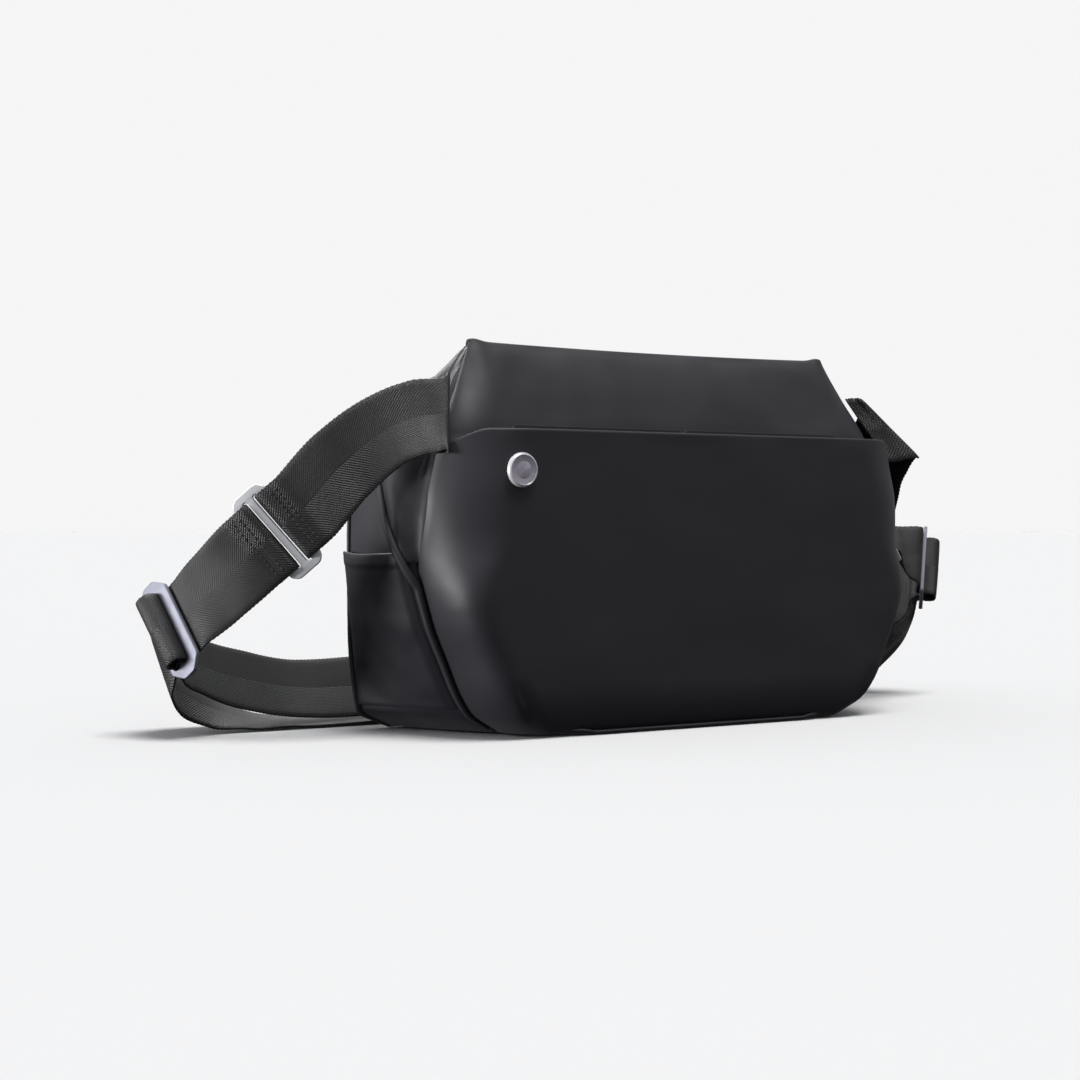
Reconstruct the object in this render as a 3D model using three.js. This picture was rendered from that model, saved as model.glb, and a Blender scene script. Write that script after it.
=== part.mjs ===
// Sling bag: a soft box with a folded ridge on top, an open-topped front pocket, a zipped
// main compartment that opens at the rear of the top, and an adjustable 38 mm webbing strap.
// Units are millimetres. +Z is up, -Y is the front, and the origin is on the floor, under the ridge.

import * as THREE from 'three';

// ---- driving dimensions ----
const WEB_WIDTH = 38;
const WEB_THICK = 1.4;
const GAP = 0.4;
const SKIN = 1.8;
const SEAM_Y = -10;
const BACK_Y = 50;
const FRONT_Y = -44;
const WALL_Y = -22.5;
const PANEL_TOP = 146.5;
const MOUTH_Z = 90;
const RIDGE_Z = 191.5;
const RIDGE_HALF = 114.7;
const CORNER_RUN = 24;
const ZIP_HINGE_Y = 10;
const ZIP_HINGE_Z = 175;
const ZIP_FALL = 0.31;
const ZIP_HALF = 118;

// half-widths of the bag at each height: along the front seam, and along the back edge
const FRONT_HALF = [[0, 103], [11, 120], [38, 134], [57, 142], [90, 149.5], [140, 138], [147, 136]];
const REAR_HALF = [[0, 132], [10, 150], [90, 155], [150, 151], [162, 149.5]];

// ---- materials ----
const coated = new THREE.MeshStandardMaterial({ color: 0x2c2b31, roughness: 0.55, metalness: 0 });
const coatedSide = new THREE.MeshStandardMaterial({ color: 0x26262b, roughness: 0.6, metalness: 0 });
const webbing = new THREE.MeshStandardMaterial({ color: 0x303034, roughness: 0.8, metalness: 0 });
const steel = new THREE.MeshStandardMaterial({ color: 0x979aa9, roughness: 0.3, metalness: 1 });
const coil = new THREE.MeshStandardMaterial({ color: 0x1c1c1f, roughness: 0.45, metalness: 0 });
const lining = new THREE.MeshStandardMaterial({ color: 0x55565c, roughness: 0.9, metalness: 0 });
const foam = new THREE.MeshStandardMaterial({ color: 0x3a3a3c, roughness: 0.95, metalness: 0 });

const bag = new THREE.Group();

function add(name, geometry, material, parent = bag) {
  const mesh = new THREE.Mesh(geometry, material.clone());
  mesh.name = name;
  parent.add(mesh);
  return mesh;
}

const vec = (x, y, z) => new THREE.Vector3(x, y, z);

function along(table, at) {
  const last = table.length - 1;
  if (at <= table[0][0]) return table[0][1];
  for (let i = 0; i < last; i += 1) {
    const [a, va] = table[i];
    const [b, vb] = table[i + 1];
    if (at <= b) return va + ((vb - va) * (at - a)) / (b - a);
  }
  return table[last][1];
}

// ---- closed solids from grids of points ----

function closedSolid(points, faces) {
  let volume = 0;
  for (const [a, b, c] of faces) volume += points[a].dot(points[b].clone().cross(points[c]));
  const ordered = volume < 0 ? faces.map(([a, b, c]) => [a, c, b]) : faces;
  const geometry = new THREE.BufferGeometry();
  geometry.setAttribute('position', new THREE.Float32BufferAttribute(points.flatMap((p) => p.toArray()), 3));
  geometry.setIndex(ordered.flat());
  geometry.computeVertexNormals();
  return geometry;
}

// A sheet of even thickness: surface(u, v) gives its outer face, and its inner face lies
// `thick` behind it, away from outwards(u, v).
function sheetSolid(us, vs, surface, thick, outwards) {
  const columns = us.length;
  const rows = vs.length;
  const outer = [];
  const inner = [];
  for (const v of vs) {
    for (const u of us) {
      const p = surface(u, v);
      outer.push(p);
      inner.push(p.clone().addScaledVector(outwards(u, v).normalize(), -thick));
    }
  }
  const points = outer.concat(inner);
  const shift = outer.length;
  const at = (i, j) => j * columns + i;
  const faces = [];
  const quad = (a, b, c, d) => faces.push([a, b, c], [a, c, d]);
  for (let j = 0; j < rows - 1; j += 1) {
    for (let i = 0; i < columns - 1; i += 1) {
      quad(at(i, j), at(i + 1, j), at(i + 1, j + 1), at(i, j + 1));
      quad(at(i, j) + shift, at(i, j + 1) + shift, at(i + 1, j + 1) + shift, at(i + 1, j) + shift);
    }
  }
  for (let i = 0; i < columns - 1; i += 1) {
    quad(at(i + 1, 0), at(i, 0), at(i, 0) + shift, at(i + 1, 0) + shift);
    quad(at(i, rows - 1), at(i + 1, rows - 1), at(i + 1, rows - 1) + shift, at(i, rows - 1) + shift);
  }
  const end = columns - 1;
  for (let j = 0; j < rows - 1; j += 1) {
    quad(at(0, j), at(0, j + 1), at(0, j + 1) + shift, at(0, j) + shift);
    quad(at(end, j + 1), at(end, j), at(end, j) + shift, at(end, j + 1) + shift);
  }
  return closedSolid(points, faces);
}

// A flat strap through stations [centre, widthDirection], smoothed and with square edges.
function bandSolid(stations, perSpan = 3, width = WEB_WIDTH, thick = WEB_THICK) {
  const curve = new THREE.CatmullRomCurve3(stations.map(([centre]) => centre), false, 'centripetal');
  const spans = stations.length - 1;
  const points = [];
  const count = spans * perSpan;
  for (let i = 0; i <= count; i += 1) {
    const t = i / count;
    const span = Math.min(Math.floor(t * spans), spans - 1);
    const across = stations[span][1].clone().lerp(stations[span + 1][1], t * spans - span).normalize();
    const centre = curve.getPoint(t);
    const face = curve.getTangent(t).cross(across).normalize();
    for (const [w, n] of [[-1, -1], [1, -1], [1, 1], [-1, 1]]) {
      const corner = centre.clone().addScaledVector(across, (w * width) / 2);
      points.push(corner.addScaledVector(face, (n * thick) / 2));
    }
  }
  const faces = [[0, 2, 1], [0, 3, 2]];
  for (let i = 0; i < count; i += 1) {
    for (let k = 0; k < 4; k += 1) {
      const a = 4 * i + k;
      const b = 4 * i + ((k + 1) % 4);
      faces.push([a, b, b + 4], [a, b + 4, a + 4]);
    }
  }
  const end = 4 * count;
  faces.push([end, end + 1, end + 2], [end, end + 2, end + 3]);
  return closedSolid(points, faces);
}

function plateFrom(corners, thick, holes = []) {
  const flat = (outline) => outline.map(([x, y]) => new THREE.Vector2(x, y));
  const shape = new THREE.Shape(flat(corners));
  shape.holes.push(...holes.map((outline) => new THREE.Path(flat(outline))));
  return new THREE.ExtrudeGeometry(shape, { depth: thick, bevelEnabled: false });
}

const mirrored = (half) => half.concat(half.map(([x, y]) => [-x, y]).reverse());

function steps(from, to, count) {
  return Array.from({ length: count + 1 }, (_, i) => from + ((to - from) * i) / count);
}

// ---- the crowned panels across the front ----

// Plan outline of a crowned panel: flat in the middle, with an elliptical corner down to the seam.
function crowned(across, half, seamY, frontY, run) {
  const sign = Math.sign(across);
  const size = Math.abs(across);
  if (size <= 1) return vec(sign * size * (half - run), frontY, 0);
  const angle = ((size - 1) * Math.PI) / 2;
  return vec(sign * (half - run + run * Math.sin(angle)), seamY + (frontY - seamY) * Math.cos(angle), 0);
}

function crownedOut(across, run, depth) {
  const sign = Math.sign(across);
  const size = Math.abs(across);
  const angle = Math.max(0, size - 1) * (Math.PI / 2);
  return vec((sign * Math.sin(angle)) / run, -Math.cos(angle) / depth, 0);
}

const ACROSS = [-2, -1.8, -1.6, -1.4, -1.2, -1, 0, 1, 1.2, 1.4, 1.6, 1.8, 2];

function crownedPanel(zs, half, seamY, frontY, run) {
  return sheetSolid(
    ACROSS,
    zs,
    (u, z) => crowned(u, half(z), seamY(z), frontY(z), run).setZ(z),
    SKIN,
    (u, z) => crownedOut(u, run, seamY(z) - frontY(z)),
  );
}

const frontHalf = (z) => along(FRONT_HALF, z);
const frontFace = (z) => FRONT_Y - 1 + Math.abs(z - 75) / 75;
const seamFront = () => SEAM_Y - GAP;

add('front_pocket_lower', crownedPanel([0, 11, 38, 57, 75, MOUTH_Z - GAP], frontHalf, seamFront, frontFace,
  CORNER_RUN), coated);
add('front_pocket_mouth', crownedPanel([MOUTH_Z, 115, 140, PANEL_TOP], frontHalf, seamFront, frontFace,
  CORNER_RUN), coated);

const WALL_INSET = 3.6;
const WALL_RUN = 26;
const wallHalf = (z) => frontHalf(z) - WALL_INSET;
const wallSeam = () => SEAM_Y - 1;
const wallFace = () => WALL_Y;
const wallHeights = [2.8, 11, 38, 57, 90, 120, 145.5];
add('front_wall', crownedPanel(wallHeights, wallHalf, wallSeam, wallFace, WALL_RUN), coated);

const slopeHalf = (z) => along([[PANEL_TOP, 132.6], [RIDGE_Z, RIDGE_HALF - 3.2]], z);
const slopeSeam = (z) => along([[PANEL_TOP, SEAM_Y - 1], [RIDGE_Z, -1]], z);
const slopeFace = (z) => along([[146, WALL_Y], [175, -11.5], [186, -5.4], [RIDGE_Z, -1.4]], z);
const slopeHeights = [146, 160, 175, 186, RIDGE_Z];
add('top_front_panel', crownedPanel(slopeHeights, slopeHalf, slopeSeam, slopeFace, WALL_RUN), coated);

// The stiff divider that stands behind the pocket's mouth, with chamfered ends.
const DIVIDER_TOP = 150;
const divider = plateFrom(mirrored([[92, 96], [105, 112], [105, 146], [100, DIVIDER_TOP]]), 1.2);
divider.rotateX(Math.PI / 2);
add('pocket_divider', divider, coil).position.y = WALL_Y - GAP;

// ---- back, base and inside ----

const backOutline = mirrored([[130, 0.3], [149, 9], [153.5, 50], [154, 92], [150.5, 148], [148, 160.6]]);
const back = plateFrom(backOutline, 2.2);
back.rotateX(Math.PI / 2);
add('back_panel', back, coated).position.y = BACK_Y;

const padding = plateFrom(mirrored([[124, 8], [144, 20], [146, 90], [142, 150]]), 4);
padding.rotateX(Math.PI / 2);
add('back_foam', padding, foam).position.y = BACK_Y - 2.2 - GAP;

const baseOutline = mirrored([[72, -41.2], [88, -34], [97, -22], [99, SEAM_Y], [126, 47]]);
add('base_panel', plateFrom(baseOutline, 2.2), coated);
const boardOutline = mirrored([[90, SEAM_Y + 4], [116, 42]]);
add('base_board', plateFrom(boardOutline, 1.6), foam).position.z = 2.2 + GAP;

const liningFront = plateFrom(mirrored([[74, 8], [102, 45], [113, 90], [104, 143]]), 0.8);
liningFront.rotateX(Math.PI / 2);
add('main_lining_front', liningFront, lining).position.y = WALL_Y + SKIN + 2;
const organiser = plateFrom(mirrored([[92, 10], [118, 40], [122, 96]]), 1.2);
organiser.rotateX(Math.PI / 2);
add('inner_slip_pocket', organiser, lining).position.y = BACK_Y - 2.2 - 4 - 4 * GAP - 4;

// ---- sides, the same on both hands ----

const sideDepth = (y) => (y - SEAM_Y) / (BACK_Y - SEAM_Y);
const sideX = (y, z) => {
  const back01 = sideDepth(y);
  return along(FRONT_HALF, z) * (1 - back01) + along(REAR_HALF, z) * back01;
};
const topLine = [[SEAM_Y, 150], [0, RIDGE_Z], [ZIP_HINGE_Y, ZIP_HINGE_Z - 1], [BACK_Y, 161.5]];
const topHalf = [[SEAM_Y, 136.4], [0, RIDGE_HALF], [ZIP_HINGE_Y, 129.5], [BACK_Y, 149.2]];
const SIDE_YS = [SEAM_Y, 0, 12, 28, 40, BACK_Y - 2.8];

for (const [hand, sign] of [['left', -1], ['right', 1]]) {
  const gusset = sheetSolid(
    SIDE_YS,
    [0, 5, 10, 24, 38, 57, 90, 120, 146],
    (y, z) => vec(sign * sideX(y, z), y, z),
    SKIN,
    () => vec(sign, 0, 0),
  );
  add(`side_panel_${hand}`, gusset, coatedSide);

  const topGusset = sheetSolid(
    [SEAM_Y, -5, 0, 5, ZIP_HINGE_Y, 28, BACK_Y - 2.8],
    [0, 0.5, 1],
    (y, v) => {
      const z = 146 + GAP + v * (along(topLine, y) - 146 - GAP);
      const x = sideX(y, 146) + v * (along(topHalf, y) - sideX(y, 146));
      return vec(sign * x, y, z);
    },
    SKIN,
    () => vec(sign, 0, 0),
  );
  add(`side_top_panel_${hand}`, topGusset, coatedSide);

  const slip = sheetSolid(
    [-3, 12, 28, 40, BACK_Y - 4],
    [14, 38, 57, 74, 88],
    (y, z) => vec(sign * (sideX(y, z) + GAP + 2), y, z),
    1.4,
    () => vec(sign, 0, 0),
  );
  add(`side_pocket_${hand}`, slip, coatedSide);

  const bellows = sheetSolid(
    [0, 0.5, 1],
    [94, 108, 122, 136],
    (u, z) => {
      const y = SEAM_Y + 1.4 + u * (2 + (z - 94) * 0.26);
      return vec(sign * (sideX(y, z) + GAP + 1.6 + u * (z - 94) * 0.05), y, z);
    },
    1.4,
    () => vec(sign, 0, 0),
  );
  add(`pocket_bellows_${hand}`, bellows, coatedSide);

  const seam = steps(3, 139, 17).map((z) => vec(sign * (frontHalf(z) + 2.3), SEAM_Y - 0.2, z));
  const bead = new THREE.Shape(Array.from({ length: 6 }, (_, i) => {
    const angle = (i * Math.PI) / 3;
    return new THREE.Vector2(1.2 * Math.cos(angle), 1.2 * Math.sin(angle));
  }));
  const beadPath = new THREE.CatmullRomCurve3(seam, false, 'centripetal');
  const piping = new THREE.ExtrudeGeometry(bead, { steps: 24, bevelEnabled: false, extrudePath: beadPath });
  add(`seam_piping_${hand}`, piping, coated);

  const tab = new THREE.BoxGeometry(16, 7, 6.5);
  add(`zip_end_tab_${hand}`, tab, webbing).position.set(sign * 160.6, 46.2, 147);
}

// ---- the top behind the ridge, the zip, its slider and pull ----

const ridgeBack = sheetSolid(
  [-1, -0.5, 0.5, 1],
  [0, 1],
  (u, v) => vec(u * (RIDGE_HALF - 3.2 + v * 12), 2 + v * 7, RIDGE_Z - v * 15.2),
  1.2,
  () => vec(0, 0.9, 0.44),
);
add('ridge_back_panel', ridgeBack, coated);

const zip = new THREE.Group();
zip.position.set(0, ZIP_HINGE_Y, ZIP_HINGE_Z);
zip.rotation.x = -Math.atan(ZIP_FALL);
bag.add(zip);

const LID_NEAR = 2;
const LID_FAR = 29.3;
const CHAIN = 36.75;
const COIL_WIDE = 2.1;
const SPLIT = 0.15;

const lidOutline = mirrored([[126.2, LID_NEAR], [137.6, LID_FAR]]);
add('top_lid', plateFrom(lidOutline, SKIN), coated, zip).position.z = -SKIN;

function zipStrip(name, half, from, to, low, high, material) {
  const strip = new THREE.BoxGeometry(2 * half, to - from, high - low);
  add(name, strip, material, zip).position.set(0, (from + to) / 2, (low + high) / 2);
}
zipStrip('zip_tape_lid', 108, LID_FAR + GAP, CHAIN - SPLIT - COIL_WIDE - GAP, -1.5, -0.6, coil);
zipStrip('zip_coil_lid', 108, CHAIN - SPLIT - COIL_WIDE, CHAIN - SPLIT, -1.8, 0.2, coil);
zipStrip('zip_coil_back', 127, CHAIN + SPLIT, CHAIN + SPLIT + COIL_WIDE, -1.8, 0.2, coil);
zipStrip('zip_tape_back', 127, CHAIN + SPLIT + COIL_WIDE + GAP, 43, -1.5, -0.6, coil);

// Slider: a channel over the coils, with a staple on top that holds the pull.
const SLIDER_HALF = 3.5;
const channel = plateFrom(
  [[-SLIDER_HALF, 1.8], [-SLIDER_HALF, -0.2], [-2.6, -0.2], [-2.6, 0.6], [2.6, 0.6], [2.6, -0.2],
    [SLIDER_HALF, -0.2], [SLIDER_HALF, 1.8]],
  12,
);
channel.rotateX(Math.PI / 2);
channel.rotateZ(Math.PI / 2);
const slider = add('zip_slider', channel, steel, zip);
slider.position.set(ZIP_HALF - 6, CHAIN, 0);
const staple = plateFrom(
  [[-3.3, 0], [-3.3, 3.7], [3.3, 3.7], [3.3, 0], [2.1, 0], [2.1, 2.7], [-2.1, 2.7], [-2.1, 0]],
  2,
);
staple.rotateX(Math.PI / 2);
add('zip_slider_staple', staple, steel, zip).position.set(ZIP_HALF, CHAIN + 1, 1.8 + 0.02);

const pull = plateFrom(
  [[-0.9, -2.7], [5.4, -2.7], [8, -3.4], [25, -3.4], [26, -2.4], [26, 2.4], [25, 3.4], [8, 3.4], [5.4, 2.7],
    [-0.9, 2.7]],
  1.6,
  [[[0.9, -1.5], [5, -1.5], [5, 1.5], [0.9, 1.5]]],
);
add('zip_pull', pull, steel, zip).position.set(ZIP_HALF, CHAIN, 2.35);

// ---- round button on the pocket's mouth ----

const BUTTON_X = -112.5;
const BUTTON_Z = 127.5;
const badgeProfile = [[0, 0], [6.8, 0], [6.8, 0.6], [8.2, 0.6], [8.2, 1.9], [7.2, 2.9], [0, 2.9]];
const badge = new THREE.LatheGeometry(badgeProfile.map(([r, h]) => new THREE.Vector2(r, h)), 28);
badge.rotateX(Math.PI);
badge.translate(0, -0.3, 0);
add('button', badge, steel).position.set(BUTTON_X, frontFace(BUTTON_Z), BUTTON_Z);
const washer = new THREE.CylinderGeometry(5, 5, 0.8, 20);
add('button_washer', washer, steel).position.set(BUTTON_X, frontFace(BUTTON_Z) + SKIN + 1, BUTTON_Z);

// ---- strap ----

// A local frame on the strap: u runs along it, away from the bag, w across it, and n faces out.
function strapFrame(origin, u, w, side) {
  const run = u.clone().normalize();
  const across = w.clone().addScaledVector(run, -w.dot(run)).normalize();
  const out = run.clone().cross(across).multiplyScalar(side);
  return { origin, run, across, out, side };
}
const on = (frame, u, n) => frame.origin.clone().addScaledVector(frame.run, u).addScaledVector(frame.out, n);
const stations = (frame, list) => list.map(([u, n]) => [on(frame, u, n), frame.across]);

function hardware(name, frame, outline, slots) {
  const plate = plateFrom(outline, HARDWARE_THICK, slots);
  plate.translate(0, 0, -HARDWARE_THICK / 2);
  const mesh = add(name, plate, steel);
  const sideways = frame.across.clone().multiplyScalar(frame.side);
  const basis = new THREE.Matrix4().makeBasis(frame.run, sideways, frame.out);
  mesh.quaternion.setFromRotationMatrix(basis);
  mesh.position.copy(frame.origin);
}

const HARDWARE_THICK = 2;
const RING_BAR = 8.2;
const slot = (from, to, half) => [[from, -half], [to, -half], [to, half], [from, half]];
const RING_SLOTS = [slot(-6.9, -1.5, 19.7), slot(1.5, 6.9, 19.5)];
const SLIDER_SLOTS = [slot(-5.5, -1.1, 19.7), slot(1.1, 5.5, 19.5)];
const octagon = (low, high, half, cut) => [
  [low, -half + cut], [low + cut, -half], [high - cut, -half], [high, -half + cut],
  [high, half - cut], [high - cut, half], [low + cut, half], [low, half - cut]];

// loop of webbing round a bar at `bar`, seen along the bar; `way` is the side the webbing leaves to
function loopRound(bar, way, radius = 2.6) {
  return steps(-90, 90, 6).map((degrees) => {
    const angle = (degrees * Math.PI) / 180;
    return [bar - way * radius * Math.cos(angle), radius * Math.sin(angle)];
  });
}

const SIDES = {
  left: {
    side: -1,
    anchor: [
      [vec(-137.6, -12.6, 155), vec(0.25, 0.41, 0.88)],
      [vec(-138.6, -18.6, 154.5), vec(0.15, 0.42, 0.88)],
      [vec(-143, -19.2, 154), vec(0, 0.45, 0.89)],
      [vec(-149.2, -12.4, 152.6), vec(0, 0.47, 0.87)],
      [vec(-150, -12.2, 152.5), vec(0, 0.47, 0.87)],
    ],
    down: [
      [vec(-150.8, -12, 152.4), vec(0, 0.47, 0.87)],
      [vec(-151.6, -11.6, 152.2), vec(0, 0.47, 0.87)],
      [vec(-161, -1.5, 147), vec(-0.2, 0.48, 0.85)],
      [vec(-180, 7, 130), vec(-0.42, 0.38, 0.82)],
    ],
    ring: strapFrame(vec(-211, 13, 98.5), vec(-0.535, 0.45, -0.6), vec(-0.56, 0.34, 0.75), -1),
    between: [
      [vec(-231, 37, 72), vec(-0.34, 0.5, 0.79)],
    ],
    glide: strapFrame(vec(-246, 59, 50.5), vec(-0.32, 0.72, -0.63), vec(-0.135, 0.617, 0.774), -1),
    tail: [
      [vec(-244, 72, 35), vec(0, 0.64, 0.77)],
      [vec(-235, 79, 23), vec(0.05, 0.72, 0.69)],
      [vec(-220, 82, 13.5), vec(0.05, 0.84, 0.54)],
      [vec(-201, 83, 6.8), vec(0.05, 0.96, 0.28)],
      [vec(-176, 83, 2.6), vec(0, 0.99, 0.07)],
      [vec(-120, 83, 1.6), vec(0, 1, 0.02)],
      [vec(-60, 83, 1.4), vec(0, 1, 0)],
    ],
    shoulder: [
      [vec(-232, 69, 37), vec(-0.05, 0.62, 0.78)],
      [vec(-217, 73, 30), vec(-0.05, 0.62, 0.78)],
      [vec(-193, 79, 23.5), vec(0, 0.64, 0.77)],
      [vec(-160, 86, 18), vec(0, 0.7, 0.71)],
      [vec(-100, 93, 17.6), vec(0, 0.66, 0.75)],
    ],
  },
  right: {
    side: 1,
    anchor: [
      [vec(137.6, -12.6, 154), vec(-0.3, 0.45, 0.84)],
      [vec(142.5, -18, 154.6), vec(-0.2, 0.44, 0.87)],
      [vec(149.2, -18.8, 155), vec(0, 0.44, 0.9)],
      [vec(150, -18.6, 155), vec(0, 0.44, 0.9)],
    ],
    down: [
      [vec(150.8, -18.4, 155), vec(0, 0.44, 0.9)],
      [vec(151.6, -18, 154.8), vec(0, 0.44, 0.9)],
      [vec(156, -9, 151.5), vec(-0.15, 0.42, 0.88)],
      [vec(165, 3.5, 141), vec(-0.33, 0.4, 0.83)],
      [vec(178, 16.5, 121), vec(-0.1, 0.6, 0.6)],
    ],
    ring: strapFrame(vec(192.5, 29, 97), vec(0.7, 0.28, -0.62), vec(0.05, 0.75, 0.62), 1),
    between: [
      [vec(213.6, 31, 84.8), vec(0.22, 0.55, 0.8)],
    ],
    glide: strapFrame(vec(232, 38, 75), vec(0.585, 0.637, -0.5), vec(0.39, 0.32, 0.865), 1),
    tail: [
      [vec(246, 57, 64), vec(0, 0.2, 0.98)],
      [vec(241, 69, 47), vec(0, 0.4, 0.92)],
      [vec(226, 78, 30), vec(0, 0.7, 0.71)],
      [vec(203, 83, 13), vec(0, 0.9, 0.43)],
      [vec(180, 83, 4.8), vec(0, 0.99, 0.12)],
      [vec(160, 83, 2), vec(0, 1, 0.03)],
      [vec(120, 83, 1.6), vec(0, 1, 0.02)],
      [vec(60, 83, 1.4), vec(0, 1, 0)],
    ],
    shoulder: [
      [vec(224, 57, 63), vec(0, 0.3, 0.95)],
      [vec(210, 70, 50), vec(0, 0.4, 0.92)],
      [vec(188, 82, 36), vec(0, 0.5, 0.87)],
      [vec(150, 92, 24), vec(0, 0.6, 0.8)],
      [vec(100, 94, 18.5), vec(0, 0.66, 0.75)],
    ],
  },
};

for (const [hand, strap] of Object.entries(SIDES)) {
  add(`strap_anchor_${hand}`, bandSolid(strap.anchor), webbing);

  hardware(`strap_ring_${hand}`, strap.ring, octagon(-9.5, 9.5, 24, 3), RING_SLOTS);
  hardware(`strap_slider_${hand}`, strap.glide, octagon(-11.5, 7.8, 26.5, 6), SLIDER_SLOTS);

  const upperEnd = [[-14, -2.1], [-12, -2.2]];
  const upperOut = [[-12, 2.2], [-17, 1.2]];
  const upper = stations(strap.ring, upperEnd.concat(loopRound(-RING_BAR, -1), upperOut));
  add(`strap_upper_webbing_${hand}`, bandSolid(upper.concat(strap.down.slice().reverse())), webbing);

  const lowerEnd = [[14, -2.1], [12, -2.2]];
  const lowerLoop = lowerEnd.concat(loopRound(RING_BAR, 1), [[12, 2.2], [17, 1.2]]);
  const through = [[-16, -2], [-11.5, -2.4], [-6.4, -2.6], [-4.5, -1.6], [-4.4, 0.6], [-4.6, 4.2],
    [-3.6, 7.2], [0, 8.4], [3.6, 7.2], [4.6, 4.2], [4.4, 0.6], [4.5, -1.6], [6.4, -2.6], [9.5, -2.8]];
  const slide = stations(strap.glide, through);
  const lower = stations(strap.ring, lowerLoop).concat(strap.between, slide, strap.tail);
  add(`strap_lower_webbing_${hand}`, bandSolid(lower), webbing);
}

// The shoulder webbing is sewn round the middle bar of each slider.
const aroundBar = [[9.5, -4.7], [6.2, -4.4], [3.2, -2.7], [2.5, 0], [1.7, 1.8], [0, 2.5], [-1.7, 1.8],
  [-2.5, 0], [-1.8, -1.9], [0.2, -3.2], [3.2, -5.2], [6.2, -6.3], [9.5, -6.9]];
const leftEnd = stations(SIDES.left.glide, aroundBar).concat(SIDES.left.shoulder);
const rightEnd = stations(SIDES.right.glide, aroundBar).concat(SIDES.right.shoulder);
const middle = [[vec(0, 95, 18.5), vec(0, 0.66, 0.75)]];
add('strap_shoulder_webbing', bandSolid(leftEnd.concat(middle, rightEnd.reverse())), webbing);

export default bag;
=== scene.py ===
import bisect
import math

import bmesh
import bpy
from mathutils import Matrix, Vector, noise

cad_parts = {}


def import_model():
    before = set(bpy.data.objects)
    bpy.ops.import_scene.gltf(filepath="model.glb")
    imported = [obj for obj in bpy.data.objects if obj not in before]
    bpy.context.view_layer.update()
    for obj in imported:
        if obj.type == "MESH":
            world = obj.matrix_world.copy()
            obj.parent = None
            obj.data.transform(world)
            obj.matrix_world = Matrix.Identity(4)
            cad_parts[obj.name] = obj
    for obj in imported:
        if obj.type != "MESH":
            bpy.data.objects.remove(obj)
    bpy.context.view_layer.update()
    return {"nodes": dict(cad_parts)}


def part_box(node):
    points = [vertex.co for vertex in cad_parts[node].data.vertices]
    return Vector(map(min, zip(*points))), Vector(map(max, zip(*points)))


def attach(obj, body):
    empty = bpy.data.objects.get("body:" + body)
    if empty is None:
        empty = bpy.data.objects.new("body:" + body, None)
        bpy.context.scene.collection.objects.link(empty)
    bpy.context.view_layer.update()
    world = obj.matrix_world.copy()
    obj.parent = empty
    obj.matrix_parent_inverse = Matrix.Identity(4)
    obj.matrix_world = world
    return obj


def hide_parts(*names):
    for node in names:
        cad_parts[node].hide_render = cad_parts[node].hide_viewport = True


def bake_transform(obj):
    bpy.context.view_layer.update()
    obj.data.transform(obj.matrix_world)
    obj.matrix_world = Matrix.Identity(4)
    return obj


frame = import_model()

# Lengths below are millimetres in the part's own frame; build() turns them into metres.
MM = 0.001
nodes = frame["nodes"]
HANDS = (("left", -1), ("right", 1))


def V(x, y, z):
    return Vector((x, y, z))


# ---- curves and numbers

def lerp(a, b, t):
    return a + (b - a) * t


def ease(t):
    t = min(1.0, max(0.0, t))
    return t * t * (3 - 2 * t)


def steps(a, b, count):
    return [a + (b - a) * i / count for i in range(count + 1)]


def smooth(table, at):
    """A value from a table of (position, value), on a smooth curve that doesn't overshoot."""
    xs = [p[0] for p in table]
    ys = [p[1] for p in table]
    if at <= xs[0]:
        return ys[0]
    if at >= xs[-1]:
        return ys[-1]

    def slope(k):
        if k == 0 or k == len(xs) - 1:
            j = max(1, k)
            return (ys[j] - ys[j - 1]) / (xs[j] - xs[j - 1])
        before = (ys[k] - ys[k - 1]) / (xs[k] - xs[k - 1])
        after = (ys[k + 1] - ys[k]) / (xs[k + 1] - xs[k])
        return 0.0 if before * after <= 0 else 2 * before * after / (before + after)

    i = bisect.bisect_right(xs, at) - 1
    h = xs[i + 1] - xs[i]
    t = (at - xs[i]) / h
    a, b = slope(i) * h, slope(i + 1) * h
    return (ys[i] * (1 + 2 * t) * (1 - t) ** 2 + a * t * (1 - t) ** 2
            + ys[i + 1] * t * t * (3 - 2 * t) - b * t * t * (1 - t))


def between(a, at_a, b, at_b, t):
    return a * ((at_b - t) / (at_b - at_a)) + b * ((t - at_a) / (at_b - at_a))


def curve_through(points, per_span=16):
    """Points on a centripetal Catmull-Rom curve, each with its place along the list."""
    ends = [points[0] * 2 - points[1]] + list(points) + [points[-1] * 2 - points[-2]]
    out = []
    for k in range(1, len(ends) - 2):
        p0, p1, p2, p3 = ends[k - 1:k + 3]
        t0 = 0.0
        t1 = t0 + max(1e-4, (p1 - p0).length ** 0.5)
        t2 = t1 + max(1e-4, (p2 - p1).length ** 0.5)
        t3 = t2 + max(1e-4, (p3 - p2).length ** 0.5)
        last = k == len(ends) - 3
        for i in range(per_span + (1 if last else 0)):
            t = t1 + (t2 - t1) * i / per_span
            a1 = between(p0, t0, p1, t1, t)
            a2 = between(p1, t1, p2, t2, t)
            a3 = between(p2, t2, p3, t3, t)
            b1 = between(a1, t0, a2, t2, t)
            b2 = between(a2, t1, a3, t3, t)
            out.append((between(b1, t1, b2, t2, t), k - 1 + i / per_span))
    return out


def lengths(points):
    """How far along a line each of its points lies."""
    far = [0.0]
    for a, b in zip(points, points[1:]):
        far.append(far[-1] + (b - a).length)
    return far


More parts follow.
